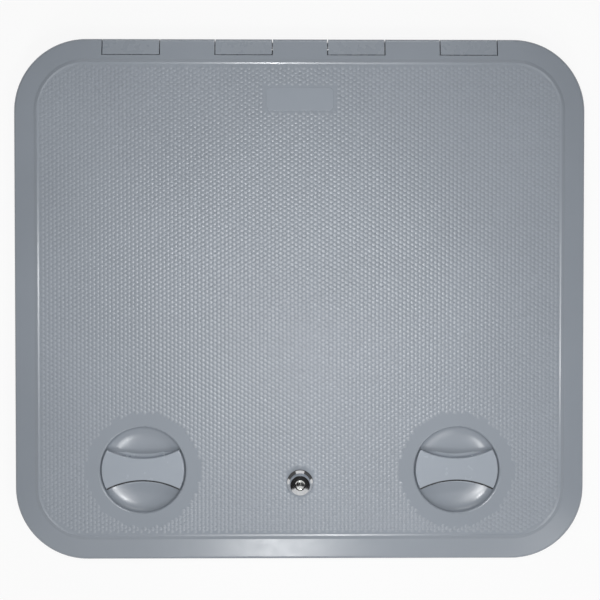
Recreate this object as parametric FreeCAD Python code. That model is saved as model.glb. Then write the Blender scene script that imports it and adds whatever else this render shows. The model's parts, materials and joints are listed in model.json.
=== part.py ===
import FreeCAD, Part
import math
import os

from FreeCAD import Vector

os.makedirs("parts", exist_ok=True)

# A hinged deck hatch: a moulded frame that is screwed down over a hole in the deck, and a moulded lid
# that covers all of it. X runs across the hatch, the hinge is at +Y, +Z is up.
# The origin is the middle of the hatch on the deck, which is the underside of the frame's flange.

# Lid: outline, heights and walls
lid_length = 510.0
lid_width = 465.5
lid_corner_r = 65.0
lid_height = 20.0
lid_skin = 3.0
skirt_deck_gap = 2.0
skirt_draft = 0.6
rim_width = 19.2
rim_fall = 2.2
rim_step = 0.8
rim_edge_r = 3.0
step_width = 2.8
crest_height = 0.35
crest_width = 0.5
crest_fall_width = 1.4
crest_edge_r = 0.2
rib_pitch = 50.0
rib_wall = 2.0
rib_height = 8.0
rib_rows_front = 3
badge_length = 59.0
badge_width = 20.0
badge_corner_r = 3.5
badge_height = 0.25
badge_edge_r = 0.2
badge_rear_gap = 25.5

# Frame: flange, coaming and the lip that meets the seal
flange_side_gap = 2.0
flange_width = 27.0
flange_thickness = 4.0
coaming_wall = 3.5
coaming_depth = 40.0
coaming_bead = 1.5
coaming_bead_height = 4.0
lip_height = 7.0
screw_hole_r = 2.25
screw_head_r = 4.3
screw_row_gap = 8.75
screw_row_x = 150.0
screw_row_y = 110.0

# Seal and the channel that holds it under the lid
seal_width = 8.0
seal_bulb_r = 3.0
seal_lip_gap = 0.3
seal_side_gap = 0.3
channel_wall = 2.0
channel_height = 5.0

# Hinge
lug_width = 50.0
lug_depth = 15.0
lug_pitch = 100.0
lugs_each_side = 2
lug_side_gap = 0.9
lug_swing_gap = 0.45
lug_foot_gap = 0.3
lug_core_wall = 4.0
lug_core_height = 4.0
pin_r = 2.5
pin_height = 8.5
pin_fixed_gap = 0.03
pin_running_gap = 0.08
pin_middle_gap = 2.0
pin_end_gap = 2.0
pin_chamfer = 0.6
heel_deck_gap = 0.5
heel_flange_gap = 0.6

# Latches
latch_side_gap = 115.0
bowl_r = 38.0
bowl_depth = 9.5
bowl_dish_run = 26.0
bowl_dish_rise = 7.0
bowl_lip_r = 1.8
bowl_wall = 2.5
bowl_channel_gap = 0.7
grip_end_gap = 1.2
grip_floor_gap = 0.4
grip_waist = 20.5
grip_end_width = 36.0
grip_edge_r = 1.0
grip_foot_r = 2.6
grip_foot_thickness = 0.6
shaft_r = 5.0
shaft_running_gap = 0.08
shaft_boss_wall = 4.0
shaft_boss_length = 13.5
shaft_square = 7.0
square_gap = 0.05
oring_groove_r = 3.7
oring_groove_width = 2.0
oring_wire_r = 0.62
oring_gap = 0.03
oring_depth = 3.5
washer_wall = 4.0
washer_thickness = 1.0
washer_play = 0.1
tongue_thickness = 3.0
tongue_width = 16.0
tongue_tip_gap = 2.25
tongue_ramp = 1.2
tongue_ledge_gap = 0.3
ledge_depth = 10.0
ledge_thickness = 4.0
ledge_width = 60.0
gusset_size = 6.0
gusset_wall = 3.0

# Screws and washers of the latches and of the lock
bolt_r = 2.0
bolt_thread_gap = 0.04
bolt_length = 9.0
bolt_head_r = 4.0
bolt_head_height = 2.6
bolt_slot_width = 1.2
bolt_slot_length = 5.0
bolt_slot_depth = 1.3
bolt_washer_r = 5.8
bolt_washer_thickness = 0.8
bolt_clamp_gap = 0.2

# Key lock
lock_front_gap = 29.7
lock_gasket_thickness = 0.8
lock_gasket_overhang = 0.25
bezel_base_r = 11.5
bezel_base_height = 0.9
bezel_neck_r = 9.4
bezel_flare_height = 2.1
bezel_height = 9.2
bezel_face_r = 8.6
bezel_face_rise = 0.2
barrel_r = 9.2
barrel_flat = 8.0
barrel_hole_gap = 0.15
barrel_cam_gap = 0.4
nut_across_flats = 25.0
nut_thickness = 5.0
nut_thread_gap = 0.03
nut_rib_gap = 1.5
tab_washer_wall = 3.4
tab_washer_thickness = 1.0
plug_r = 4.6
plug_running_gap = 0.06
plug_recess = 0.3
plug_square = 6.0
plug_ring_fall = 0.07
key_groove_r = 3.7
key_post_r = 2.9
key_post_rise = 0.2
key_depth = 4.5
key_notch = 1.4
key_notch_depth = 2.0
cam_thickness = 2.5
cam_width = 14.0

# Levels and places that follow from the sizes above
half_length = lid_length / 2
half_width = lid_width / 2
skin_under = lid_height - lid_skin
rim_inner_z = lid_height - rim_step
rim_outer_z = rim_inner_z - rim_fall
crest_z = lid_height + crest_height
crest_inset = rim_width + step_width + crest_width
flange_inset = lid_skin + flange_side_gap
coaming_outer_inset = flange_inset + flange_width
coaming_inner_inset = coaming_outer_inset + coaming_wall
lip_top = flange_thickness + lip_height
seal_mid_inset = (coaming_outer_inset + coaming_inner_inset) / 2
seal_outer_inset = seal_mid_inset - seal_width / 2
seal_inner_inset = seal_mid_inset + seal_width / 2
seal_bottom = lip_top + seal_lip_gap
channel_outer_inset = seal_outer_inset - seal_side_gap - channel_wall
channel_inner_inset = seal_inner_inset + seal_side_gap + channel_wall
screw_inset = coaming_outer_inset - screw_row_gap

rear_y = half_width
pin_y = rear_y - lug_depth / 2
lug_front_y = rear_y - lug_depth
heel_r = pin_height - heel_deck_gap
knuckle_r = pin_height - skirt_deck_gap
flange_rear_y = pin_y - math.sqrt((heel_r + heel_flange_gap) ** 2 - (pin_height - flange_thickness) ** 2)
rim_slope = rim_fall / (rim_width - skirt_draft)
lug_top_z = rim_outer_z + (lug_depth - skirt_draft) * rim_slope
notch_r = math.hypot(lug_depth / 2, lug_top_z - pin_height) + lug_swing_gap
knuckle_end_x = half_length - lid_corner_r
lug_centres = [side * (index + 0.5) * lug_pitch for side in (-1, 1) for index in range(lugs_each_side)]

front_opening_y = -(half_width - coaming_inner_inset)
front_channel_y = -(half_width - channel_inner_inset)
latch_x = half_length - latch_side_gap
latch_y = front_channel_y + bowl_wall + bowl_r + bowl_channel_gap
bowl_floor = lid_height - bowl_depth
bowl_under = bowl_floor - bowl_wall
grip_r = bowl_r - grip_end_gap
grip_sole = bowl_floor + grip_floor_gap
grip_foot_top = grip_sole + grip_foot_thickness
shaft_hole_r = shaft_r + shaft_running_gap
boss_r = shaft_hole_r + shaft_boss_wall
boss_end = bowl_under - shaft_boss_length
washer_top = boss_end - washer_play
tongue_top = washer_top - washer_thickness
tongue_bottom = tongue_top - tongue_thickness
ledge_bottom = tongue_top + tongue_ledge_gap
tongue_reach = latch_y - front_opening_y - tongue_tip_gap

lock_y = front_channel_y + lock_front_gap
bezel_bottom = lid_height + lock_gasket_thickness
bezel_top = bezel_bottom + bezel_height
barrel_end = tongue_top + barrel_cam_gap
cam_bottom = tongue_top - cam_thickness
cam_reach = lock_y - front_opening_y - tongue_tip_gap
tall = lid_height + bezel_height + coaming_depth


def outline(inset, z):
    """Rounded rectangle that lies inside the lid's outline by one distance all round."""
    x = half_length - inset
    y = half_width - inset
    r = lid_corner_r - inset
    bow = r * math.sqrt(0.5)
    edges = []
    for sx, sy in ((1, 1), (-1, 1), (-1, -1), (1, -1)):
        start = Vector(sx * x, sy * (y - r), z)
        middle = Vector(sx * (x - r + bow), sy * (y - r + bow), z)
        end = Vector(sx * (x - r), sy * y, z)
        corner = [start, middle, end] if sx * sy > 0 else [end, middle, start]
        if edges:
            edges.append(Part.LineSegment(last, corner[0]).toShape())
        else:
            first = corner[0]
        edges.append(Part.Arc(*corner).toShape())
        last = corner[2]
    edges.append(Part.LineSegment(last, first).toShape())
    return Part.Wire(edges)


def slab(inset, z0, z1):
    """Plate with the outline of the lid at one inset, between two levels."""
    return Part.Face(outline(inset, z0)).extrude(Vector(0, 0, z1 - z0))


def ring(outer_inset, inner_inset, z0, z1):
    return slab(outer_inset, z0, z1).cut(slab(inner_inset, z0 - 1, z1 + 1))


def block(x0, x1, y0, y1, z0, z1):
    return Part.makeBox(x1 - x0, y1 - y0, z1 - z0, Vector(x0, y0, z0))


def rod(r, z0, z1, x=0.0, y=0.0):
    return Part.makeCylinder(r, z1 - z0, Vector(x, y, z0))


def tube(r_out, r_in, z0, z1, x=0.0, y=0.0):
    return rod(r_out, z0, z1, x, y).cut(rod(r_in, z0 - 1, z1 + 1, x, y))


def cross_rod(r, x0, x1):
    """Cylinder on the hinge axis."""
    return Part.makeCylinder(r, x1 - x0, Vector(x0, pin_y, pin_height), Vector(1, 0, 0))


def turned(edges, x=0.0, y=0.0):
    """Solid of revolution about a vertical axis, from edges drawn in the XZ plane."""
    solid = Part.Face(Part.Wire(edges)).revolve(Vector(0, 0, 0), Vector(0, 0, 1), 360)
    solid.translate(Vector(x, y, 0))
    return solid


def polyline(points):
    """Straight edges through points of radius and height, closed."""
    corners = [Vector(r, 0, z) for r, z in points]
    return [Part.LineSegment(a, b).toShape() for a, b in zip(corners, corners[1:] + corners[:1])]


def edges_at(shape, z):
    """Edges that lie wholly at one level."""
    flat = [e for e in shape.Edges if abs(e.BoundBox.ZMin - z) < 1e-4 and abs(e.BoundBox.ZMax - z) < 1e-4]
    return flat


def prism(wire_edges, z0, z1):
    face = Part.Face(Part.Wire(wire_edges))
    face.translate(Vector(0, 0, z0))
    return face.extrude(Vector(0, 0, z1 - z0))


def lid_form(inset, drop, z0):
    """Outer form of the lid without its field: drafted skirt, rounded edge and sloping rim."""
    levels = ((0.0, z0), (skirt_draft, rim_outer_z - drop), (rim_width, rim_inner_z - drop))
    wires = [outline(inset + step, z) for step, z in levels]
    form = Part.makeLoft(wires, True, True)
    shoulder = edges_at(form, rim_outer_z - drop)
    return form.makeFillet(rim_edge_r, shoulder) if drop == 0 else form


def field():
    """Raised middle of the lid: a sloping step up to a low crest, and the flat inside it."""
    step = Part.makeLoft([outline(rim_width, rim_inner_z),
                          outline(rim_width + step_width, crest_z)], True, True)
    pan = Part.makeLoft([outline(crest_inset + crest_fall_width, lid_height),
                         outline(crest_inset, crest_z)], True, True)
    raised = step.cut(pan)
    raised = raised.makeFillet(crest_edge_r, edges_at(raised, crest_z))
    return slab(rim_width, skin_under, rim_inner_z).fuse(raised)


def badge_place():
    """Low bare pad behind the middle of the field."""
    x = badge_length / 2
    y0 = rear_y - rim_width - badge_rear_gap - badge_width
    pad = block(-x, x, y0, y0 + badge_width, skin_under, lid_height + badge_height)
    upright = [e for e in pad.Edges if abs(e.BoundBox.ZLength - pad.BoundBox.ZLength) < 1e-4]
    pad = pad.makeFillet(badge_corner_r, upright)
    return pad.makeFillet(badge_edge_r, edges_at(pad, lid_height + badge_height))


def dish(r, floor, run, rise):
    """Edges of a round dish in section: a flat floor, then a quarter of an oval that ends upright."""
    soft = 4 / 3 * (math.sqrt(2) - 1)
    curve = Part.BezierCurve()
    curve.setPoles([Vector(r - run, 0, floor), Vector(r - run + soft * run, 0, floor),
                    Vector(r, 0, floor + rise - soft * rise), Vector(r, 0, floor + rise)])
    return [Part.LineSegment(Vector(0, 0, floor), Vector(r - run, 0, floor)).toShape(), curve.toShape()]


def bowl(x):
    """Latch bowl: its outer form, with the boss for the shaft."""
    r = bowl_r + bowl_wall
    rise = bowl_dish_rise + bowl_wall
    top = lid_height - lid_skin / 4
    edges = dish(r, bowl_under, bowl_dish_run + bowl_wall, rise)
    edges.append(Part.LineSegment(Vector(r, 0, bowl_under + rise), Vector(r, 0, top)).toShape())
    edges.append(Part.LineSegment(Vector(r, 0, top), Vector(0, 0, top)).toShape())
    edges.append(Part.LineSegment(Vector(0, 0, top), Vector(0, 0, bowl_under)).toShape())
    return turned(edges, x, latch_y).fuse(rod(boss_r, boss_end, bowl_floor, x, latch_y))


def bowl_space(x, gap, floor_gap, lip):
    """Space inside a latch bowl, taken in by a gap; with the rounded lip at its mouth if wanted."""
    r = bowl_r - gap
    floor = bowl_floor + floor_gap
    corner = bowl_floor + bowl_dish_rise
    above = lid_height + 1
    edges = dish(r, floor, bowl_dish_run - gap, bowl_dish_rise - floor_gap)
    if lip:
        round_z = lid_height - bowl_lip_r
        inward = bowl_lip_r * (1 - math.sqrt(0.5))
        edges.append(Part.LineSegment(Vector(r, 0, corner), Vector(r, 0, round_z)).toShape())
        edges.append(Part.Arc(Vector(r, 0, round_z), Vector(r + inward, 0, lid_height - inward),
                              Vector(r + bowl_lip_r, 0, lid_height)).toShape())
        edges.append(Part.LineSegment(Vector(r + bowl_lip_r, 0, lid_height),
                                      Vector(r + bowl_lip_r, 0, above)).toShape())
        edges.append(Part.LineSegment(Vector(r + bowl_lip_r, 0, above), Vector(0, 0, above)).toShape())
    else:
        edges.append(Part.LineSegment(Vector(r, 0, corner), Vector(r, 0, above)).toShape())
        edges.append(Part.LineSegment(Vector(r, 0, above), Vector(0, 0, above)).toShape())
    edges.append(Part.LineSegment(Vector(0, 0, above), Vector(0, 0, floor)).toShape())
    return turned(edges, x, latch_y)


def lid_ribs():
    """Grid of ribs under the lid, inside the seal's channel."""
    z0 = skin_under - rib_height
    z1 = skin_under + lid_skin / 2
    bars = []
    columns = int((half_length - channel_inner_inset) / rib_pitch + 0.5)
    for index in range(-columns, columns):
        x = (index + 0.5) * rib_pitch
        bars.append(block(x - rib_wall / 2, x + rib_wall / 2, -half_width, half_width, z0, z1))
    rows = int((half_width - channel_inner_inset) / rib_pitch + 0.5)
    for index in range(-rib_rows_front, rows):
        y = (index + 0.5) * rib_pitch
        bars.append(block(-half_length, half_length, y - rib_wall / 2, y + rib_wall / 2, z0, z1))
    grid = bars[0].fuse(bars[1:])
    keep = slab(channel_inner_inset - channel_wall / 2, z0 - 1, z1 + 1)
    nut_room = rod(nut_across_flats / math.sqrt(3) + nut_rib_gap, z0 - 1, skin_under, 0.0, lock_y)
    return grid.common(keep).cut(nut_room)


def channel():
    """Two ribs under the lid that hold the seal between them."""
    z0 = skin_under - channel_height
    z1 = skin_under + lid_skin / 2
    outer = ring(channel_outer_inset, channel_outer_inset + channel_wall, z0, z1)
    inner = ring(channel_inner_inset - channel_wall, channel_inner_inset, z0, z1)
    return outer.fuse(inner)


def knuckles():
    """Hinge knuckles of the lid: one long bar on the hinge axis, which the notches divide."""
    x = knuckle_end_x
    round_part = cross_rod(knuckle_r, -x, x)
    top = block(-x, x, pin_y - knuckle_r, rear_y, pin_height, lid_height)
    return round_part.fuse(top)


def heel_relief():
    """What is taken off the lid's rear lower edge, so that it turns clear of the deck."""
    x = half_length + 1
    corner = block(-x, x, pin_y, rear_y + 5, -1, pin_height)
    return corner.cut(cross_rod(heel_r, -x - 1, x + 1))


def lug_notch(x):
    """Room in the lid for one lug of the frame, round about the hinge axis."""
    half = lug_width / 2 + lug_side_gap
    swing = cross_rod(notch_r, x - half, x + half)
    behind = block(x - half, x + half, pin_y, rear_y + 5, -1, lid_height + 5)
    return swing.fuse(behind)


def lock_section(gap, z0, z1):
    """Lock barrel with a flat on each side, grown by a gap."""
    r = barrel_r + gap
    flat = barrel_flat + gap
    return rod(r, z0, z1, 0.0, lock_y).common(block(-flat, flat, lock_y - r, lock_y + r, z0, z1))


def lid():
    outer = lid_form(0.0, 0.0, skirt_deck_gap).fuse(field())
    inner = lid_form(lid_skin, lid_skin, skirt_deck_gap - 1).fuse(slab(rim_width + lid_skin, 0, skin_under))
    shell = outer.cut(inner)
    bars = knuckles().common(lid_form(0.0, 0.0, skirt_deck_gap))
    under = [lid_ribs(), channel(), bars, badge_place(), bowl(-latch_x), bowl(latch_x)]
    body = shell.fuse(under)
    cuts = [heel_relief(), cross_rod(pin_r + pin_running_gap, -half_length, half_length)]
    cuts += [lug_notch(x) for x in lug_centres]
    for x in (-latch_x, latch_x):
        cuts.append(bowl_space(x, 0.0, 0.0, True))
        cuts.append(rod(shaft_hole_r, boss_end - 1, bowl_floor + 1, x, latch_y))
    cuts.append(lock_section(barrel_hole_gap, skin_under - 1, lid_height + 1))
    return body.cut(cuts).removeSplitter()


def lid_seal():
    """Bulb seal: a flat strip in the channel with a rounded bead below it."""
    strip = ring(seal_outer_inset, seal_inner_inset, seal_bottom + seal_bulb_r, skin_under)
    outer = seal_mid_inset - seal_bulb_r
    inner = seal_mid_inset + seal_bulb_r
    bead = ring(outer, inner, seal_bottom, seal_bottom + seal_bulb_r + seal_side_gap)
    bead = bead.makeFillet(seal_bulb_r * 0.95, edges_at(bead, seal_bottom))
    return strip.fuse(bead).removeSplitter()


def screw_places():
    """Places of the screws that hold the frame down."""
    x = half_length - screw_inset
    y = half_width - screw_inset
    places = [(sx * screw_row_x, sy * y) for sx in (-1, 0, 1) for sy in (-1, 1)]
    places += [(sx * x, sy * screw_row_y) for sx in (-1, 1) for sy in (-1, 0, 1)]
    return places


def screw_hole(x, y):
    hole = rod(screw_hole_r, -1, flange_thickness + 1, x, y)
    depth = screw_head_r - screw_hole_r
    sink = Part.makeCone(screw_hole_r, screw_head_r, depth, Vector(x, y, flange_thickness - depth))
    return hole.fuse(sink)


def lug(x):
    """Hinge lug of the frame, cored below: its top carries on the lid's rim, its foot fills the notch."""
    half = lug_width / 2
    foot_half = half + lug_side_gap - lug_foot_gap
    post = block(x - half, x + half, lug_front_y, rear_y + 5, 0, tall)
    foot = block(x - foot_half, x + foot_half, flange_rear_y - 1, rear_y + 5, 0, flange_thickness)
    body = post.fuse(foot).common(lid_form(0.0, 0.0, 0.0))
    wall = lug_core_wall
    core = block(x - half + wall, x + half - wall, lug_front_y + wall, rear_y - wall, -1, lug_core_height)
    return body.cut(core)


def ledge(x, width):
    """Ledge inside the front of the coaming that a latch tongue turns under."""
    half = width / 2
    wall_y = front_opening_y - coaming_wall / 2
    top = ledge_bottom + ledge_thickness
    plate = block(x - half, x + half, wall_y, front_opening_y + ledge_depth, ledge_bottom, top)
    corners = [e for e in plate.Edges if e.BoundBox.ZLength > ledge_thickness / 2
               and e.BoundBox.YMin > front_opening_y]
    plate = plate.makeFillet(ledge_depth / 3, corners)
    gussets = []
    for gx in (x - half + gusset_wall, x + half - 2 * gusset_wall):
        tri = [Vector(gx, wall_y, top), Vector(gx, front_opening_y + gusset_size, top),
               Vector(gx, wall_y, top + gusset_size), Vector(gx, wall_y, top)]
        gussets.append(Part.Face(Part.makePolygon(tri)).extrude(Vector(gusset_wall, 0, 0)))
    return plate.fuse(gussets)


def frame():
    flange = ring(flange_inset, coaming_inner_inset, 0, flange_thickness)
    flange = flange.cut(block(-half_length, half_length, flange_rear_y, rear_y + 5, -1, flange_thickness + 1))
    wall = ring(coaming_outer_inset, coaming_inner_inset, -coaming_depth, lip_top)
    bead = ring(coaming_outer_inset, coaming_inner_inset + coaming_bead, -coaming_depth,
                -coaming_depth + coaming_bead_height)
    ledges = [ledge(-latch_x, ledge_width), ledge(latch_x, ledge_width), ledge(0.0, ledge_width)]
    body = flange.fuse([wall, bead] + ledges + [lug(x) for x in lug_centres])
    cuts = [screw_hole(x, y) for x, y in screw_places()]
    cuts.append(cross_rod(pin_r + pin_fixed_gap, -half_length, half_length))
    return body.cut(cuts).removeSplitter()


def hinge_pin(side):
    """Steel hinge pin for one half of the hinge, with both ends chamfered."""
    length = knuckle_end_x - pin_end_gap - pin_middle_gap
    start = pin_middle_gap if side > 0 else -pin_middle_gap - length
    pin = cross_rod(pin_r, start, start + length)
    ends = [e for e in pin.Edges if e.BoundBox.XLength < 1e-4]
    return pin.makeChamfer(pin_chamfer, ends)


def grip_side():
    """Radius of the hollow in each side of the grip bar, and how far its middle lies from the latch's."""
    y = grip_end_width / 2
    x = math.sqrt(grip_r ** 2 - y ** 2)
    bulge = y - grip_waist / 2
    r = (x ** 2 + bulge ** 2) / (2 * bulge)
    return r, r + grip_waist / 2


def grip_bar(x):
    """Waisted bar that follows the bowl at its ends, with a rounded foot along each hollow side."""
    bar = bowl_space(x, grip_end_gap, grip_floor_gap, False)
    bar = bar.common(rod(bowl_r, bowl_floor, lid_height, x, latch_y))
    r, offset = grip_side()
    for y in (latch_y - offset, latch_y + offset):
        hollow = rod(r, grip_foot_top, lid_height + 1, x, y)
        hollow = hollow.makeFillet(grip_foot_r, edges_at(hollow, grip_foot_top))
        bar = bar.cut([hollow, rod(r - grip_foot_r, bowl_floor, lid_height, x, y)])
    return bar.makeFillet(grip_edge_r, edges_at(bar, lid_height))


def latch_handle(x):
    """Grip bar and shaft in one piece; the shaft ends in a square for the tongue."""
    groove_top = bowl_floor - oring_depth + oring_groove_width / 2
    groove = tube(shaft_r + 1, oring_groove_r, groove_top - oring_groove_width, groove_top, x, latch_y)
    round_part = rod(shaft_r, tongue_top, bowl_floor + bowl_depth / 2, x, latch_y).cut(groove)
    half = shaft_square / 2
    square_end = tongue_bottom + bolt_clamp_gap
    square = block(x - half, x + half, latch_y - half, latch_y + half, square_end, tongue_top + 1)
    thread = bolt_hole(x, latch_y, tongue_bottom)
    return grip_bar(x).fuse([round_part, square]).cut(thread).removeSplitter()


def latch_oring(x):
    z = bowl_floor - oring_depth
    r = oring_groove_r + oring_gap + oring_wire_r
    return Part.makeTorus(r, oring_wire_r, Vector(x, latch_y, z))


def latch_washer(x):
    r = shaft_hole_r
    return tube(r + washer_wall, r, tongue_top, washer_top, x, latch_y)


def arm(reach, width, z0, z1, square, pivot_y):
    """Flat arm along +X from a square hole, with a round tip that slopes at its end."""
    half = width / 2
    tip_x = math.sqrt(reach ** 2 - half ** 2)
    edges = [Part.Arc(Vector(0, half, 0), Vector(-half, 0, 0), Vector(0, -half, 0)).toShape(),
             Part.LineSegment(Vector(0, -half, 0), Vector(tip_x, -half, 0)).toShape(),
             Part.Arc(Vector(tip_x, -half, 0), Vector(reach, 0, 0), Vector(tip_x, half, 0)).toShape(),
             Part.LineSegment(Vector(tip_x, half, 0), Vector(0, half, 0)).toShape()]
    plate = prism(edges, z0, z1)
    hole = square / 2 + square_gap
    plate = plate.cut(block(-hole, hole, -hole, hole, z0 - 1, z1 + 1))
    tip = [e for e in edges_at(plate, z1) if e.BoundBox.XMin > tip_x - 1e-4]
    plate = plate.makeChamfer(tongue_ramp, tip)
    plate.translate(Vector(0, pivot_y, 0))
    return plate


def latch_tongue(x):
    """Steel tongue in line with the grip bar, pointing to the nearer side of the hatch."""
    plate = arm(tongue_reach, tongue_width, tongue_bottom, tongue_top, shaft_square, 0.0)
    if x < 0:
        plate.rotate(Vector(0, 0, 0), Vector(0, 0, 1), 180)
    plate.translate(Vector(x, latch_y, 0))
    return plate


def bolt_seat(clamped_bottom):
    """Level of the underside of the washer below a clamped piece, where the screw head seats."""
    return clamped_bottom - bolt_washer_thickness


def bolt_hole(x, y, clamped_bottom):
    """Threaded hole for the screw, up the middle of a square end."""
    seat = bolt_seat(clamped_bottom)
    return rod(bolt_r + bolt_thread_gap, seat, seat + bolt_length + bolt_clamp_gap, x, y)


def bolt_washer(x, y, clamped_bottom):
    hole = bolt_r + 2 * bolt_thread_gap
    return tube(bolt_washer_r, hole, bolt_seat(clamped_bottom), clamped_bottom, x, y)


def bolt(x, y, clamped_bottom):
    """Pan-head screw from below with a cross recess."""
    seat = bolt_seat(clamped_bottom)
    low = seat - bolt_head_height
    head = rod(bolt_head_r, low, seat, x, y)
    head = head.makeFillet(bolt_head_height / 2, edges_at(head, low))
    shank = rod(bolt_r, seat, seat + bolt_length, x, y)
    half_w = bolt_slot_width / 2
    half_l = bolt_slot_length / 2
    depth = low + bolt_slot_depth
    slots = [block(x - half_w, x + half_w, y - half_l, y + half_l, low - 1, depth),
             block(x - half_l, x + half_l, y - half_w, y + half_w, low - 1, depth)]
    return head.fuse(shank).cut(slots).removeSplitter()


def lock_gasket():
    r = bezel_base_r + lock_gasket_overhang
    return rod(r, lid_height, bezel_bottom, 0.0, lock_y).cut(
        lock_section(barrel_hole_gap, lid_height - 1, bezel_bottom + 1))


def lock_housing():
    """Chrome bezel, flared above its base, with a slightly raised face, and the threaded barrel below."""
    rise = bezel_top + bezel_face_rise
    base_top = bezel_bottom + bezel_base_height
    points = [(0, bezel_bottom), (bezel_base_r, bezel_bottom), (bezel_base_r, base_top),
              (bezel_neck_r, base_top + bezel_flare_height), (bezel_face_r, bezel_top),
              (plug_r + plug_running_gap, rise), (0, rise)]
    bezel = turned(polyline(points), 0.0, lock_y)
    barrel = lock_section(0.0, barrel_end, base_top)
    bore = rod(plug_r + plug_running_gap, barrel_end - 1, rise + 1, 0.0, lock_y)
    return bezel.fuse(barrel).cut(bore).removeSplitter()


def tab_washer():
    """Washer between the nut and the lid, keyed to the flats of the barrel."""
    bottom = skin_under - tab_washer_thickness
    disc = rod(barrel_r + tab_washer_wall, bottom, skin_under, 0.0, lock_y)
    return disc.cut(lock_section(barrel_hole_gap, bottom - 1, skin_under + 1))


def lock_nut():
    top = skin_under - tab_washer_thickness
    corner = nut_across_flats / math.sqrt(3)
    points = [Vector(corner * math.cos(math.radians(a)), corner * math.sin(math.radians(a)), 0)
              for a in range(0, 361, 60)]
    hexagon = Part.Face(Part.makePolygon(points)).extrude(Vector(0, 0, nut_thickness))
    bottom = top - nut_thickness
    hexagon.translate(Vector(0, lock_y, bottom))
    return hexagon.cut(rod(barrel_r + nut_thread_gap, bottom - 1, top + 1, 0.0, lock_y))


def lock_plug():
    """Turning plug: a ring-shaped keyway round a coned post, a key notch, and a square for the cam."""
    top = bezel_top + bezel_face_rise - plug_recess
    mouth = top - plug_ring_fall
    bottom = top - key_depth
    points = [(0, tongue_top), (plug_r, tongue_top), (plug_r, top), (key_groove_r, mouth),
              (key_groove_r, bottom), (key_post_r, bottom), (key_post_r, mouth), (0, mouth + key_post_rise)]
    body = turned(polyline(points), 0.0, lock_y)
    half = key_notch / 2
    y0 = lock_y + (key_groove_r + key_post_r) / 2
    notch = block(-half, half, y0, lock_y + plug_r + 1, top - key_notch_depth, top + 1)
    square_half = plug_square / 2
    square_end = cam_bottom + bolt_clamp_gap
    square = block(-square_half, square_half, lock_y - square_half, lock_y + square_half,
                   square_end, tongue_top + 1)
    thread = bolt_hole(0.0, lock_y, cam_bottom)
    return body.fuse(square).cut([notch, thread]).removeSplitter()


def lock_cam():
    """Cam of the lock, pointing along -X at rest."""
    plate = arm(cam_reach, cam_width, cam_bottom, tongue_top, plug_square, 0.0)
    plate.rotate(Vector(0, 0, 0), Vector(0, 0, 1), 180)
    plate.translate(Vector(0, lock_y, 0))
    return plate


nodes = {
    "frame": frame(),
    "lid": lid(),
    "lid_seal": lid_seal(),
    "hinge_pin_left": hinge_pin(-1),
    "hinge_pin_right": hinge_pin(1),
    "lock_gasket": lock_gasket(),
    "lock_housing": lock_housing(),
    "lock_tab_washer": tab_washer(),
    "lock_nut": lock_nut(),
    "lock_plug": lock_plug(),
    "lock_cam": lock_cam(),
    "lock_cam_washer": bolt_washer(0.0, lock_y, cam_bottom),
    "lock_cam_screw": bolt(0.0, lock_y, cam_bottom),
}

for side, x in (("left", -latch_x), ("right", latch_x)):
    nodes["latch_handle_" + side] = latch_handle(x)
    nodes["latch_oring_" + side] = latch_oring(x)
    nodes["latch_washer_" + side] = latch_washer(x)
    nodes["latch_tongue_" + side] = latch_tongue(x)
    nodes["latch_tongue_washer_" + side] = bolt_washer(x, latch_y, tongue_bottom)
    nodes["latch_screw_" + side] = bolt(x, latch_y, tongue_bottom)

for name, shape in nodes.items():
    shape.exportStep("parts/" + name + ".step")
    print(name, shape.isValid(), len(shape.Solids), "solid", round(shape.Volume, 1), "mm3")
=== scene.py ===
# %% [markdown]
# # A hinged deck hatch with a non-slip lid
# This notebook dresses a deck hatch. Its lid, frame, latches and lock arrive as finished solids, and
# Blender gives them their surfaces: grained plastic, rubber, steel and chrome. What is too fine or too
# many for the solids, such as the round non-slip bumps and the thread of the lock, is modelled here.
# All lengths are in metres, X runs across the hatch, the hinge is at +Y and Z points up.

# %% Load the frame
import json
import math

import bpy
import numpy as np
from mathutils import Matrix, Vector


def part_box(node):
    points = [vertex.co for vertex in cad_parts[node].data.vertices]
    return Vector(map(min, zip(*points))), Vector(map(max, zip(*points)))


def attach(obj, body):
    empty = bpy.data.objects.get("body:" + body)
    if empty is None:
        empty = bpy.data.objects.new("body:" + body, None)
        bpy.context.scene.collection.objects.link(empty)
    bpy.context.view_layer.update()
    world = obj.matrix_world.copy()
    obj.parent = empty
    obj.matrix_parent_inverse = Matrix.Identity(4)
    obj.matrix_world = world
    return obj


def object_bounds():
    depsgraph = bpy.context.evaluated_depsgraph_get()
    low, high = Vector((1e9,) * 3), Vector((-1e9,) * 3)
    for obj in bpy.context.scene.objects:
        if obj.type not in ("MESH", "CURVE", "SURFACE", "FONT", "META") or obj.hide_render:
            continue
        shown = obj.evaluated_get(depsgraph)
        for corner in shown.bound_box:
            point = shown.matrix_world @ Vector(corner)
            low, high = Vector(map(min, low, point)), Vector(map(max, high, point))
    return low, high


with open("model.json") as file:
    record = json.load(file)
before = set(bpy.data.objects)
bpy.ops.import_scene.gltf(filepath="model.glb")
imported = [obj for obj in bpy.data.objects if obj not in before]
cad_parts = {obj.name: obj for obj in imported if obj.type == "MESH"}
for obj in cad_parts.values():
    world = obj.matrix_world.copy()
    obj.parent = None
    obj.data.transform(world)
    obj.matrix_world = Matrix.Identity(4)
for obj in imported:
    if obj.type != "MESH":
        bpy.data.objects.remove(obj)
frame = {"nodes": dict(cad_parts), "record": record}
solid_low, solid_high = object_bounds()
MM = 0.001
print("The solids span", [round(v / MM, 1) for v in solid_high - solid_low], "mm")


def middle_of(node):
    """Middle of the box round a solid."""
    low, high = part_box(node)
    return (low + high) / 2


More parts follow.
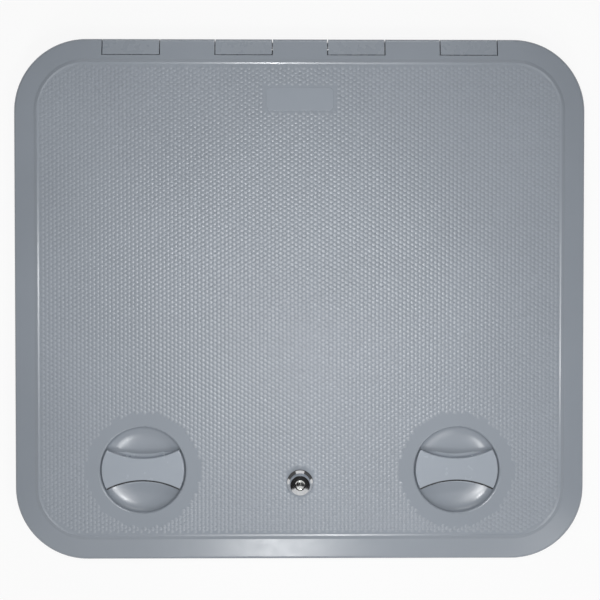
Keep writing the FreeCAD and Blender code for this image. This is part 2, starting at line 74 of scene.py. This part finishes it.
latch_middle = middle_of("latch_handle_right")
lock_middle = middle_of("lock_housing")
print("Latches turn", round(latch_middle.x / MM, 1), "mm to each side of the middle")

# %% [markdown]
# ## Working as by hand
# An operator acts on all that is selected, so each step starts with nothing selected. These helpers
# clear the selection, make one piece the active one, and pick vertices of a mesh in edit mode.

# %% Helpers for selecting
def clear_selection():
    """Object mode, with nothing selected."""
    if bpy.context.object is not None and bpy.context.object.mode != "OBJECT":
        bpy.ops.object.mode_set(mode="OBJECT")
    bpy.ops.object.select_all(action="DESELECT")


def make_active(piece):
    """One piece selected and active."""
    clear_selection()
    piece.select_set(True)
    bpy.context.view_layer.objects.active = piece


def pick_vertices(piece, picked):
    """Edit mode on the piece, with only some vertices selected. Each has its own True or False."""
    make_active(piece)
    bpy.ops.object.mode_set(mode="EDIT")
    bpy.ops.mesh.select_mode(type="VERT")
    bpy.ops.mesh.select_all(action="DESELECT")
    bpy.ops.object.mode_set(mode="OBJECT")
    piece.data.vertices.foreach_set("select", picked)
    bpy.ops.object.mode_set(mode="EDIT")


def settle(piece, name, material, body):
    """Puts a finished piece's place into its mesh, names and paints it, and lets it ride on a body."""
    make_active(piece)
    bpy.ops.object.transform_apply(location=True, rotation=True, scale=True)
    piece.name = name
    piece.data.name = name
    piece.data.materials.clear()
    piece.data.materials.append(material)
    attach(piece, body)
    clear_selection()


clear_selection()

# %% [markdown]
# ## Working with nodes
# Every finish, the floor and the sky are made of shader nodes. Four helpers keep that short: one adds a
# node, one does sums, one turns a value between two limits into another, and one mixes two colours. A
# source is a socket of another node or a plain number.

# %% Helpers for nodes
def add_node(tree, kind, **inputs):
    """A shader node of one kind, with the values of some of its sockets."""
    made = tree.nodes.new("ShaderNode" + kind)
    for socket, value in inputs.items():
        made.inputs[socket].default_value = value
    return made


def combine(tree, operation, *sources):
    """Result of a Math node for its sources."""
    made = add_node(tree, "Math")
    made.operation = operation
    for socket, source in zip(made.inputs, sources):
        if isinstance(source, bpy.types.NodeSocket):
            tree.links.new(source, socket)
        else:
            socket.default_value = source
    return made.outputs[0]


def between(tree, source, low, high, start, end):
    """Runs from start to end while the source runs from low to high, and stays level outside them."""
    made = add_node(tree, "MapRange")
    limits = {"From Min": low, "From Max": high, "To Min": start, "To Max": end}
    for name, value in limits.items():
        made.inputs[name].default_value = value
    tree.links.new(source, made.inputs["Value"])
    return made.outputs["Result"]


def mix_colours(tree, share, one, other):
    """Runs from one colour to the other as the share runs from 0 to 1."""
    mix = add_node(tree, "Mix")
    mix.data_type = "RGBA"
    for name, colour in (("A", one), ("B", other)):
        if isinstance(colour, bpy.types.NodeSocket):
            tree.links.new(colour, mix.inputs[name])
        else:
            mix.inputs[name].default_value = (*colour, 1)
    tree.links.new(share, mix.inputs["Factor"])
    return mix.outputs["Result"]


print("Node helpers ready")

# %% [markdown]
# ## Building materials
# Each finish is a Principled shader whose colour, roughness and fine relief come from noise textures on
# the Object coordinates, so a pattern stays on the piece as it moves. An image would need a file, and
# one flat colour looks like nothing that was ever moulded or machined.

# %% Helpers for materials
noise_low = 0.3
noise_high = 0.7


def start_material(name):
    """A new material, its node tree, its Principled shader and its Object coordinates."""
    material = bpy.data.materials.new(name)
    material.use_nodes = True
    tree = material.node_tree
    where = add_node(tree, "TexCoord").outputs["Object"]
    return material, tree, tree.nodes["Principled BSDF"], where


def noise(tree, where, waves, detail, roughness=0.5):
    """Noise over the coordinates, with so many waves per metre."""
    made = add_node(tree, "TexNoise", Scale=waves, Detail=detail, Roughness=roughness)
    tree.links.new(where, made.inputs["Vector"])
    return made.outputs[0]


def spread(tree, source, low, high):
    """Turns noise, which stays near its middle, into a value between two limits."""
    return between(tree, source, noise_low, noise_high, low, high)


def tint(tree, shader, source, dark, light):
    """Base colour that wanders between two colours with a noise."""
    colour = mix_colours(tree, spread(tree, source, 0, 1), dark, light)
    tree.links.new(colour, shader.inputs["Base Color"])


def set_roughness(tree, shader, source, low, high):
    """Roughness that wanders between two limits with a noise."""
    tree.links.new(spread(tree, source, low, high), shader.inputs["Roughness"])


def relief(tree, shader, heights):
    """Fine relief from several noises, each with its depth in metres."""
    below = None
    for source, depth in heights:
        bump = add_node(tree, "Bump", Strength=1, Distance=depth)
        tree.links.new(source, bump.inputs["Height"])
        if below is not None:
            tree.links.new(below, bump.inputs["Normal"])
        below = bump.outputs["Normal"]
    tree.links.new(below, shader.inputs["Normal"])


print("Material helpers ready")

# %% [markdown]
# ## Moulded plastic
# The lid and frame are moulded in grey-blue plastic with a fine grain that was etched into the mould.
# The colour is nearly even, with broad faint clouds where the plastic flowed, and the gloss is a soft
# satin. Three noises of very different sizes give this: clouds of about 10 cm, mottle of 1 cm and grain
# of under half a millimetre. The bumps are a little duller than the rim, because shoes wear their tops.

# %% Plastic
plastic_ior = 1.55
mottle_depth = 0.01 * MM


def plastic(name, colour, cloud, gloss, grain_depth):
    """Satin plastic: colour, share by which it wanders, limits of roughness and depth of its grain."""
    material, tree, shader, where = start_material(name)
    clouds = noise(tree, where, waves=11, detail=4)
    mottle = noise(tree, where, waves=120, detail=3)
    grain = noise(tree, where, waves=2600, detail=2, roughness=0.6)
    tint(tree, shader, clouds, [c * (1 - cloud) for c in colour], [c * (1 + cloud) for c in colour])
    set_roughness(tree, shader, mottle, *gloss)
    relief(tree, shader, [(mottle, mottle_depth), (grain, grain_depth)])
    shader.inputs["IOR"].default_value = plastic_ior
    return material


lid_plastic = plastic(
    "grained_lid_plastic", (0.271, 0.3, 0.339), cloud=0.03, gloss=(0.21, 0.27), grain_depth=0.003 * MM)
bump_plastic = plastic(
    "bump_plastic", (0.28, 0.309, 0.349), cloud=0.03, gloss=(0.31, 0.37), grain_depth=0.002 * MM)
frame_plastic = plastic(
    "frame_plastic", (0.274, 0.303, 0.342), cloud=0.03, gloss=(0.24, 0.32), grain_depth=0.004 * MM)
grip_plastic = plastic(
    "grip_plastic", (0.345, 0.381, 0.43), cloud=0.025, gloss=(0.22, 0.28), grain_depth=0.002 * MM)
washer_plastic = plastic(
    "bearing_plastic", (0.72, 0.71, 0.66), cloud=0.03, gloss=(0.3, 0.4), grain_depth=0.003 * MM)
print("Five plastics made")

# %% [markdown]
# The flat between the non-slip bumps is much duller than the rest, as if that part of the mould had been
# sand-blasted. It is the only face of the lid at its height, so a comparison of the height picks it out,
# and no mask has to be painted.
#
# Near the hinges a smooth oblong plate, moulded with the lid, stands a quarter of a millimetre above the
# flat. It is a shade paler than the rest. Three comparisons, one for each axis, pick out a box round it
# that stops just above the flat.

# %% Dull flat and pale plate
# The gasket of the lock lies on the flat, so its underside gives the flat's height.
field_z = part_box("lock_gasket")[0].z
field_roughness = 0.9
level_tolerance = 0.05 * MM
plate_height = 0.25 * MM
plate_half_x = 29.5 * MM
plate_half_y = 10.0 * MM
plate_y = 178.05 * MM
plate_margin = 1 * MM
plate_depth = 0.8 * plate_height
plate_colour = (0.304, 0.336, 0.379)


def reopen(material):
    """Node tree, Principled shader, and X, Y and Z of the Object coordinates of a finished material."""
    tree = material.node_tree
    parts = add_node(tree, "SeparateXYZ")
    tree.links.new(add_node(tree, "TexCoord").outputs["Object"], parts.inputs[0])
    return tree, tree.nodes["Principled BSDF"], parts.outputs


def paint_over(tree, shader, share, colour):
    """Lays a colour over the base colour, as far as the share is near 1."""
    below = shader.inputs["Base Color"].links[0].from_socket
    tree.links.new(mix_colours(tree, share, below, colour), shader.inputs["Base Color"])


def dull_level(material, level, roughness):
    """Gives the faces at one height a roughness of their own."""
    tree, shader, place = reopen(material)
    at_level = combine(tree, "COMPARE", place["Z"], level, level_tolerance)
    mix = add_node(tree, "Mix", B=roughness)
    tree.links.new(at_level, mix.inputs["Factor"])
    tree.links.new(shader.inputs["Roughness"].links[0].from_socket, mix.inputs["A"])
    tree.links.new(mix.outputs["Result"], shader.inputs["Roughness"])


def paint_box(material, middle, half, colour):
    """Gives the part of the surface that lies in a box a colour of its own."""
    tree, shader, place = reopen(material)
    share = 1
    for axis, centre, reach in zip("XYZ", middle, half):
        within = combine(tree, "COMPARE", place[axis], centre, reach)
        share = combine(tree, "MULTIPLY", share, within)
    paint_over(tree, shader, share, colour)


dull_level(lid_plastic, field_z, field_roughness)
paint_box(
    lid_plastic, middle=(0, plate_y, field_z + plate_height),
    half=(plate_half_x + plate_margin, plate_half_y + plate_margin, plate_depth), colour=plate_colour)
print("The flat lies", round(field_z / MM, 2), "mm above the deck")

# %% [markdown]
# A thin dark line of painted shade runs along the front edge of each latch's bar, in the rounded top
# edge that lies in shade.
# The line follows the arc that waists the bar, so its place is known by the distance from that arc's
# centre. The two bars mirror each other, and X without its sign lets one material serve both. The arc
# goes through the bar's two front corners and the middle of its waist, which gives its radius. The line
# fades over a fifth of its width to each side, and downward between two depths that are also given in
# widths.

# %% Painted shade on the bars
bar_end_r = 36.8 * MM
bar_end_half = 18 * MM
bar_waist_half = 10.25 * MM
bulge = bar_end_half - bar_waist_half
waist_r = (bar_end_r ** 2 - bar_end_half ** 2 + bulge ** 2) / (2 * bulge)
waist_centre = (latch_middle.x, latch_middle.y - bar_waist_half - waist_r, 0)
bar_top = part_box("latch_handle_left")[1].z
shade_line_width = 1.5 * MM
shade_line_fade = 0.2
shade_line_low = 1.2
shade_line_high = 0.9
# Near-black colour of the painted shade line along each bar's front edge.
painted_shade_colour = (0.02, 0.021, 0.023)


def paint_edge(material, arc_centre, arc_r, top, width, colour):
    """Paints a line of one width along an arc of both bars, only in the rounded edge at their top."""
    tree, shader, place = reopen(material)
    flat = add_node(tree, "CombineXYZ")
    tree.links.new(combine(tree, "ABSOLUTE", place["X"]), flat.inputs["X"])
    tree.links.new(place["Y"], flat.inputs["Y"])
    distance = add_node(tree, "VectorMath")
    distance.operation = "DISTANCE"
    distance.inputs[1].default_value = arc_centre
    tree.links.new(flat.outputs[0], distance.inputs[0])
    near_arc = between(
        tree, distance.outputs["Value"],
        arc_r + (1 - shade_line_fade) * width, arc_r + (1 + shade_line_fade) * width, 1, 0)
    near_top = between(tree, place["Z"], top - shade_line_low * width, top - shade_line_high * width, 0, 1)
    paint_over(tree, shader, combine(tree, "MULTIPLY", near_arc, near_top), colour)


# Paints shade into the rounded front edge of both bars.
paint_edge(grip_plastic, waist_centre, waist_r, bar_top, shade_line_width, painted_shade_colour)
print(f"Grime along arcs of {waist_r / MM:.1f} mm radius")

# %% [markdown]
# ## Rubber, steel and chrome
# The seal and O-rings are matt black rubber. Tongues, screws and pins are brushed stainless steel: long
# thin noise, stretched along X by a Mapping node, gives the brushing. The lock's chrome is almost a
# mirror, with faint scratches that a key leaves.

# %% Rubber and metals
rubber_grain_depth = 0.02 * MM


def rubber(name):
    """Matt black rubber with a little dust in its grain."""
    material, tree, shader, where = start_material(name)
    dust = noise(tree, where, waves=300, detail=4)
    grain = noise(tree, where, waves=2200, detail=2)
    tint(tree, shader, dust, dark=(0.018, 0.018, 0.019), light=(0.035, 0.035, 0.036))
    set_roughness(tree, shader, dust, low=0.62, high=0.78)
    relief(tree, shader, [(grain, rubber_grain_depth)])
    return material


def metal(name, dark, light, gloss, stretch, waves, depth):
    """Metal with scratches, which run along X if stretched: colours, limits of roughness, scratches."""
    material, tree, shader, where = start_material(name)
    shader.inputs["Metallic"].default_value = 1
    mapping = add_node(tree, "Mapping", Scale=(1, stretch, stretch))
    tree.links.new(where, mapping.inputs["Vector"])
    scratches = noise(tree, mapping.outputs["Vector"], waves=waves, detail=4)
    clouds = noise(tree, where, waves=400, detail=3)
    tint(tree, shader, clouds, dark, light)
    set_roughness(tree, shader, scratches, *gloss)
    relief(tree, shader, [(scratches, depth)])
    return material


black_rubber = rubber("black_rubber")
steel = metal(
    "brushed_steel", dark=(0.50, 0.50, 0.51), light=(0.63, 0.63, 0.64), gloss=(0.26, 0.42),
    stretch=12, waves=260, depth=0.004 * MM)
chrome = metal(
    "bright_chrome", dark=(0.76, 0.77, 0.79), light=(0.84, 0.85, 0.86), gloss=(0.04, 0.09),
    stretch=1, waves=900, depth=0.0006 * MM)
plug_metal = metal(
    "plug_metal", dark=(0.66, 0.67, 0.66), light=(0.76, 0.77, 0.76), gloss=(0.06, 0.14),
    stretch=1, waves=1200, depth=0.001 * MM)
print("Rubber, steel, chrome and plug metal made")

# %% [markdown]
# ## Painting the solids
# A solid whose shape is right keeps its mesh, and gets the finish that the name of its slot asks for.

# %% Finish of each solid
finish_of_slot = {
    "lid_plastic": lid_plastic,
    "frame_plastic": frame_plastic,
    "grip_plastic": grip_plastic,
    "washer_plastic": washer_plastic,
    "black_rubber": black_rubber,
    "steel": steel,
    "lock_chrome": chrome,
    "plug_metal": plug_metal,
}
slot_of_node = {part["node"]: part["material_slot"] for part in frame["record"]["subparts"]}
for name, solid in frame["nodes"].items():
    solid.material_slots[0].material = finish_of_slot[slot_of_node[name]]
print(len(slot_of_node), "solids painted")

# %% [markdown]
# ## The non-slip bumps
# The lid's field carries thousands of small round bumps, in columns that are staggered by half a pitch,
# like cells of a honeycomb. One bump is a very low cone without its tip: eight corners at its foot,
# eight round its top and one in the middle. Its underside is never seen, so the low middle vertex is
# deleted and takes that side with it. A sphere's cap would be as round, but would need more faces for
# the same shape. Array modifiers then fill the field, which is how a mould maker would lay the pattern
# out too. Each bump has only 8 four-sided faces round its flank and 8 triangles on top, because more
# than twelve thousand of them stay.

# %% One bump
bump_corners = 8
bump_r = 1.98 * MM
bump_top_r = 1.0 * MM
bump_height = 0.22 * MM
bump_pitch = 4.0 * MM
column_gap = bump_pitch * math.sqrt(0.75)

clear_selection()
bpy.ops.mesh.primitive_cone_add(
    vertices=bump_corners, radius1=bump_r, radius2=bump_top_r, depth=bump_height,
    end_fill_type="TRIFAN", location=(0, 0, field_z + bump_height / 2))
bumps = bpy.context.object
bpy.ops.object.transform_apply(location=True, rotation=False, scale=False)


def is_low_middle(place):
    """Tells the vertex in the middle of the cone's underside."""
    return place.z < field_z + bump_height / 2 and math.hypot(place.x, place.y) < bump_r / 2


pick_vertices(bumps, [is_low_middle(vertex.co) for vertex in bumps.data.vertices])
bpy.ops.mesh.delete(type="VERT")
bpy.ops.object.mode_set(mode="OBJECT")
bump_vertices = len(bumps.data.vertices)
print("One bump has", bump_vertices, "vertices and is", round(bump_height / MM, 2), "mm high")

# %% [markdown]
# The field lies inside the low crest line of the lid, at one inset from its outline all round. The
# columns start from the middle of the hatch, so the pattern is the same left and right of it.

# %% Bumps over the whole field
field_inset = 23.9 * MM
lid_corner_r = 65 * MM
field_half_x = solid_high.x - field_inset
field_half_y = solid_high.y - field_inset
field_corner_r = lid_corner_r - field_inset

pairs_x = int(field_half_x / column_gap) + 1
rows_y = int(2 * field_half_y / bump_pitch) + 2
first_place = Vector((-(pairs_x // 2) * 2 * column_gap, -(rows_y // 2) * bump_pitch, 0))


def repeat(piece, count, step):
    """Repeats a piece in a row and makes the copies real."""
    make_active(piece)
    row = piece.modifiers.new("row", "ARRAY")
    row.count = count
    row.use_relative_offset = False
    row.use_constant_offset = True
    row.constant_offset_displace = step
    bpy.ops.object.modifier_apply(modifier=row.name)


bumps.location = first_place
make_active(bumps)
bpy.ops.object.transform_apply(location=True, rotation=False, scale=False)
repeat(bumps, 2, (column_gap, bump_pitch / 2, 0))
repeat(bumps, pairs_x, (2 * column_gap, 0, 0))
repeat(bumps, rows_y, (0, bump_pitch, 0))
print("The array holds", len(bumps.data.vertices) // bump_vertices, "bumps")

# %% [markdown]
# Some places stay bare: a smooth ring round each latch bowl, a small ring round the lock, and the oblong
# plate near the hinges. Every bump has the same number of vertices in the same order, so numpy can work
# out each bump's middle at once, and the bumps to take away are then deleted in edit mode.

# %% Bare places
latch_ring_r = 51 * MM
lock_ring_r = 13.8 * MM
edge_margin = 0.9 * MM


def in_field(x, y):
    """Tells which points lie in the field, clear of its rounded edge."""
    dx = np.maximum(np.abs(x) - (field_half_x - field_corner_r), 0)
    dy = np.maximum(np.abs(y) - (field_half_y - field_corner_r), 0)
    return np.hypot(dx, dy) < field_corner_r - edge_margin


def is_bare(x, y):
    """Tells which points lie in a bare place."""
    near_latch = np.hypot(np.abs(x) - latch_middle.x, y - latch_middle.y) < latch_ring_r
    near_lock = np.hypot(x, y - lock_middle.y) < lock_ring_r
    on_plate_x = np.abs(x) < plate_half_x + bump_r
    on_plate_y = np.abs(y - plate_y) < plate_half_y + bump_r
    return near_latch | near_lock | (on_plate_x & on_plate_y)


def bump_centres(piece):
    """Middle of each bump."""
    places = np.empty(len(piece.data.vertices) * 3)
    piece.data.vertices.foreach_get("co", places)
    return places.reshape(-1, bump_vertices, 3).mean(axis=1)


def pick_bumps(piece, picked):
    """Edit mode, with all vertices of some bumps selected. Each bump has its own True or False."""
    pick_vertices(piece, np.repeat(picked, bump_vertices))


centre_x, centre_y, _ = bump_centres(bumps).T
keep = in_field(centre_x, centre_y) & ~is_bare(centre_x, centre_y)
pick_bumps(bumps, ~keep)
bpy.ops.mesh.delete(type="VERT")
bpy.ops.object.mode_set(mode="OBJECT")
print(int(keep.sum()), "bumps stay")

# %% [markdown]
# The bumps are parted into four pieces by the middle lines of the hatch, which keeps each mesh light.
# They are shaded smooth and ride on the lid.

# %% Four fields of bumps
def part_off(piece, axis, name):
    """Separates the bumps on the positive side of a middle line into a piece of their own."""
    pick_bumps(piece, bump_centres(piece)[:, axis] > 0)
    bpy.ops.mesh.separate(type="SELECTED")
    bpy.ops.object.mode_set(mode="OBJECT")
    other = next(o for o in bpy.context.selected_objects if o != piece)
    other.name = name
    return other


bumps_right = part_off(bumps, 0, "bumps_right")
quarters = {
    "bumps_rear_left": part_off(bumps, 1, "bumps_rear_left"),
    "bumps_rear_right": part_off(bumps_right, 1, "bumps_rear_right"),
    "bumps_front_left": bumps,
    "bumps_front_right": bumps_right,
}
for name, quarter in quarters.items():
    make_active(quarter)
    bpy.ops.object.shade_smooth()
    settle(quarter, name, bump_plastic, "lid")
    print(name, len(quarter.data.polygons), "faces")

# %% [markdown]
# ## The thread of the lock
# The lock's barrel is threaded for its nut. A thread is a small triangle that is swept along a helix,
# which the Screw modifier does in one step: the triangle is a circle of three vertices whose tip points
# outward, and it starts low on the barrel. A turn has 40 steps, enough to look round at this size. The
# last turn ends at least half a pitch under the nut.

# %% Helix of the thread
barrel_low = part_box("lock_housing")[0].z
nut_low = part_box("lock_nut")[0].z
barrel_r = 9.2 * MM
thread_pitch = 1.0 * MM
thread_tip = 0.3 * MM
thread_steps = 40
tooth_r = 0.34 * MM
thread_start = 0.8 * MM
thread_low = barrel_low + thread_start
thread_turns = int((nut_low - thread_low) / thread_pitch - 0.5)

clear_selection()
bpy.ops.mesh.primitive_circle_add(
    vertices=3, radius=tooth_r, fill_type="NOTHING", rotation=(math.pi / 2, math.pi / 2, 0),
    location=(barrel_r + thread_tip - tooth_r, 0, thread_low))
thread = bpy.context.object
bpy.ops.object.transform_apply(location=True, rotation=True, scale=False)
sweep = thread.modifiers.new("sweep", "SCREW")
sweep.axis = "Z"
sweep.screw_offset = thread_pitch
sweep.iterations = thread_turns
sweep.steps = thread_steps
bpy.ops.object.modifier_apply(modifier=sweep.name)
print("The thread has", thread_turns, "turns and", len(thread.data.polygons), "faces")

# %% [markdown]
# The barrel has a flat on each side, so the thread is cut off there. Two bisect cuts close their own
# openings, and then all faces are turned outward.

# %% Flats of the thread
barrel_flat = 8.0 * MM
smooth_angle = math.radians(40)

bpy.ops.object.mode_set(mode="EDIT")
for side in (-1, 1):
    bpy.ops.mesh.select_all(action="SELECT")
    bpy.ops.mesh.bisect(
        plane_co=(side * barrel_flat, 0, 0), plane_no=(side, 0, 0), use_fill=True, clear_outer=True)
bpy.ops.mesh.select_all(action="SELECT")
bpy.ops.mesh.normals_make_consistent(inside=False)
bpy.ops.object.mode_set(mode="OBJECT")
bpy.ops.object.shade_smooth_by_angle(angle=smooth_angle)
thread.location = (0, lock_middle.y, 0)
settle(thread, "lock_thread", chrome, "lid")
print(f"Thread from {thread_low / MM:.1f} mm up to the nut at {nut_low / MM:.1f} mm")

# %% [markdown]
# ## Floor
# The floor is a wide pale disc under the frame's foot. It catches the hatch's soft shadow. For rays from
# the camera, and for rays that a mirror or glass sends on, most of its colour is plain white light, so
# the background is white while no extra light reaches the object. The disc is wide enough to reach
# almost to the horizon, where the pale backdrop of the sky carries on.

# %% Floor
floor_r = 40.0
floor_corners = 64
floor_gap = 0.2 * MM
floor_white = 0.9
floor_plain_share = 0.88

clear_selection()
bpy.ops.mesh.primitive_circle_add(
    vertices=floor_corners, radius=floor_r, fill_type="NGON", location=(0, 0, solid_low.z - floor_gap))
floor = bpy.context.object
floor.name = "floor"

floor_paint = bpy.data.materials.new("pale_floor")
floor_paint.use_nodes = True
floor_tree = floor_paint.node_tree
floor_tree.nodes.clear()
floor_ray = add_node(floor_tree, "LightPath").outputs
sent_on = combine(
    floor_tree, "MAXIMUM", floor_ray["Is Glossy Ray"], floor_ray["Is Transmission Ray"])
floor_seen = combine(floor_tree, "MAXIMUM", floor_ray["Is Camera Ray"], sent_on)
plain_share = combine(floor_tree, "MULTIPLY", floor_seen, floor_plain_share)
matt = add_node(floor_tree, "BsdfDiffuse", Color=(floor_white, floor_white, floor_white, 1))
plain = add_node(floor_tree, "Emission", Color=(1, 1, 1, 1), Strength=1)
blend = add_node(floor_tree, "MixShader")
floor_out = add_node(floor_tree, "OutputMaterial")
floor_tree.links.new(plain_share, blend.inputs[0])
floor_tree.links.new(matt.outputs[0], blend.inputs[1])
floor_tree.links.new(plain.outputs[0], blend.inputs[2])
floor_tree.links.new(blend.outputs[0], floor_out.inputs["Surface"])
floor.data.materials.append(floor_paint)
print("Floor at", round(floor.location.z / MM, 2), "mm")

# %% [markdown]
# ## Light
# Most light comes from a soft lamp and two small ones above the middle, close beside the camera. The
# dull field and the bumps spread their reflections into one broad glow, and the smooth bowls show the
# small ones as little highlights. A wide, weak lamp above them keeps smooth faces from looking flat. One
# softbox in front lies where the sloping front rim mirrors it, and weaker ones behind and at the right
# fill in the sides. The last one stands low behind the hatch, where the flared rear of the lock's bezel
# mirrors it. An area lamp's power grows with its size, so softbox works it out from the brightness of
# its face.

# %% Lamps
def aim(lamp, place, target):
    """Puts a lamp in its place and turns it to look at a point."""
    lamp.location = place
    lamp.rotation_euler = (Vector(target) - Vector(place)).to_track_quat("-Z", "Y").to_euler()
    bpy.context.scene.collection.objects.link(lamp)


def softbox(name, place, target, size, radiance):
    """Rectangular lamp of a given brightness that looks at a point."""
    data = bpy.data.lights.new(name, "AREA")
    data.shape = "RECTANGLE"
    data.size, data.size_y = size
    data.energy = radiance * math.pi * data.size * data.size_y
    aim(bpy.data.objects.new(name, data), place, target)


def soft_spot(name, place, target, radius, power, cone):
    """Round lamp whose light fades evenly from the middle of its cone to the edge."""
    data = bpy.data.lights.new(name, "SPOT")
    data.shadow_soft_size = radius
    data.energy = power
    data.spot_size = cone
    data.spot_blend = 1
    aim(bpy.data.objects.new(name, data), place, target)


softbox("broad_overhead_lamp", (0.02, 0.03, 0.9), (0.02, 0.03, 0), size=(0.8, 0.5), radiance=0.5)
softbox("soft_overhead_lamp", (0.02, -0.05, 0.76), (0.02, -0.05, 0), size=(0.4, 0.3), radiance=3.2)
softbox("right_overhead_lamp", (0.07, -0.12, 0.66), (0.07, -0.12, 0), size=(0.1, 0.05), radiance=42)
soft_spot(
    "left_overhead_lamp", (-0.04, 0.03, 0.72), (-0.04, 0.03, 0),
    radius=0.04, power=4.3, cone=math.radians(115))
softbox("front_softbox", (-0.045, -0.93, 1.2), (-0.02, -0.2, 0), size=(0.2, 0.3), radiance=17)
softbox("rear_softbox", (0, 1.05, 0.85), (0, -0.1, 0), size=(0.8, 0.15), radiance=5.6)
softbox("right_softbox", (0.7, -0.9, 0.8), (0, -0.1, 0), size=(0.6, 0.4), radiance=2.6)
softbox("low_rear_softbox", (0, 1.6, 0.5), (0, 0, 0), size=(1.7, 0.6), radiance=0.65)
print("Four overhead lamps and four softboxes")

# %% [markdown]
# ## Sky
# The sky is dim, and dark round the zenith where the camera is. Only a broad bright screen in front
# lights the hatch from there: the lock's face, the front rim and the front flanks of the bumps mirror
# it. The screen lies between two values of the Y of a direction, and the dark opening lies above one
# value of its Z. A narrow change of the direction makes a sharp edge and a wide one a soft edge.

# %% Dim sky and bright screen
dim_strength = 0.1
opening_strength = 0.02
opening_z = math.cos(math.radians(25))
screen_strength = 0.85
screen_near = math.sin(math.radians(17))
screen_far = math.sin(math.radians(42))
screen_side = 0.5
sharp = 0.004
soft = 0.1

world = bpy.data.worlds.new("studio")
bpy.context.scene.world = world
world.use_nodes = True
sky_tree = world.node_tree
sky_tree.nodes.clear()
split = add_node(sky_tree, "SeparateXYZ")
sky_tree.links.new(add_node(sky_tree, "TexCoord").outputs["Generated"], split.inputs[0])
toward = split.outputs

round_opening = between(
    sky_tree, toward["Z"], opening_z - sharp, opening_z + sharp, dim_strength, opening_strength)
near_edge = between(
    sky_tree, toward["Y"], -screen_near - sharp, -screen_near + sharp, screen_strength, 0)
far_edge = between(sky_tree, toward["Y"], -screen_far - soft, -screen_far, 0, 1)
left_edge = between(sky_tree, toward["X"], -screen_side - soft, -screen_side + soft, 0, 1)
right_edge = between(sky_tree, toward["X"], screen_side - soft, screen_side + soft, 1, 0)
screen_depth = combine(sky_tree, "MULTIPLY", near_edge, far_edge)
screen_width = combine(sky_tree, "MULTIPLY", left_edge, right_edge)
lit_screen = combine(sky_tree, "MULTIPLY", screen_depth, screen_width)
lighting = combine(sky_tree, "MAXIMUM", round_opening, lit_screen)
print("Dim sky with a bright screen in front")

# %% [markdown]
# Low down, a pale backdrop carries on where the floor ends. The camera, glass and mirrors see it, and
# the light on the hatch stays the same. Behind the hatch the mirrors see the dim sky instead, as the
# lock does in a real studio with a dark card there: without one, its polished bezel would melt into the
# background.

# %% Pale backdrop
backdrop_strength = 0.91
backdrop_top = math.sin(math.radians(32))
backdrop_edge = 0.02
card_y = 0.15
card_edge = 0.05

sky_ray = add_node(sky_tree, "LightPath").outputs
before_card = between(sky_tree, toward["Y"], card_y - card_edge, card_y + card_edge, 1, 0)
mirrored = combine(sky_tree, "MULTIPLY", sky_ray["Is Glossy Ray"], before_card)
through = combine(sky_tree, "MAXIMUM", sky_ray["Is Camera Ray"], sky_ray["Is Transmission Ray"])
sky_seen = combine(sky_tree, "MAXIMUM", through, mirrored)
low_down = between(
    sky_tree, toward["Z"], backdrop_top, backdrop_top + backdrop_edge, backdrop_strength, 0)
backdrop_seen = combine(sky_tree, "MULTIPLY", low_down, sky_seen)

sky = add_node(sky_tree, "Background")
sky_out = add_node(sky_tree, "OutputWorld")
sky_tree.links.new(combine(sky_tree, "MAXIMUM", lighting, backdrop_seen), sky.inputs["Strength"])
sky_tree.links.new(sky.outputs[0], sky_out.inputs["Surface"])
print("Pale backdrop low down")

# %% [markdown]
# ## Camera
# The picture is taken from straight above, from about 70 cm, with the camera a few millimetres off the
# middle. The picture is square, and one pixel of 600 covers 0.8925 mm at the level of the rim.

# %% Camera
camera_distance = 700 * MM
camera_offset = Vector((-5 * MM, 9.5 * MM, 0))
rim_z = 17 * MM
picture_pixels = 600
pixel = 0.8925 * MM
sensor = 36

target = Vector((0, 0, rim_z))
place = target + camera_offset + Vector((0, 0, camera_distance))
back = (place - target).normalized()
right = Vector((0, 1, 0)).cross(back).normalized()
turn = Matrix((right, back.cross(right), back)).transposed().to_4x4()

camera_data = bpy.data.cameras.new("camera")
camera_data.sensor_width = sensor
camera_data.lens = sensor * camera_distance / (picture_pixels * pixel)
camera = bpy.data.objects.new("camera", camera_data)
camera.matrix_world = Matrix.Translation(place) @ turn
bpy.context.scene.collection.objects.link(camera)
bpy.context.scene.camera = camera
bpy.context.scene.view_settings.view_transform = "Standard"
print("Lens", round(camera_data.lens, 1), "mm")
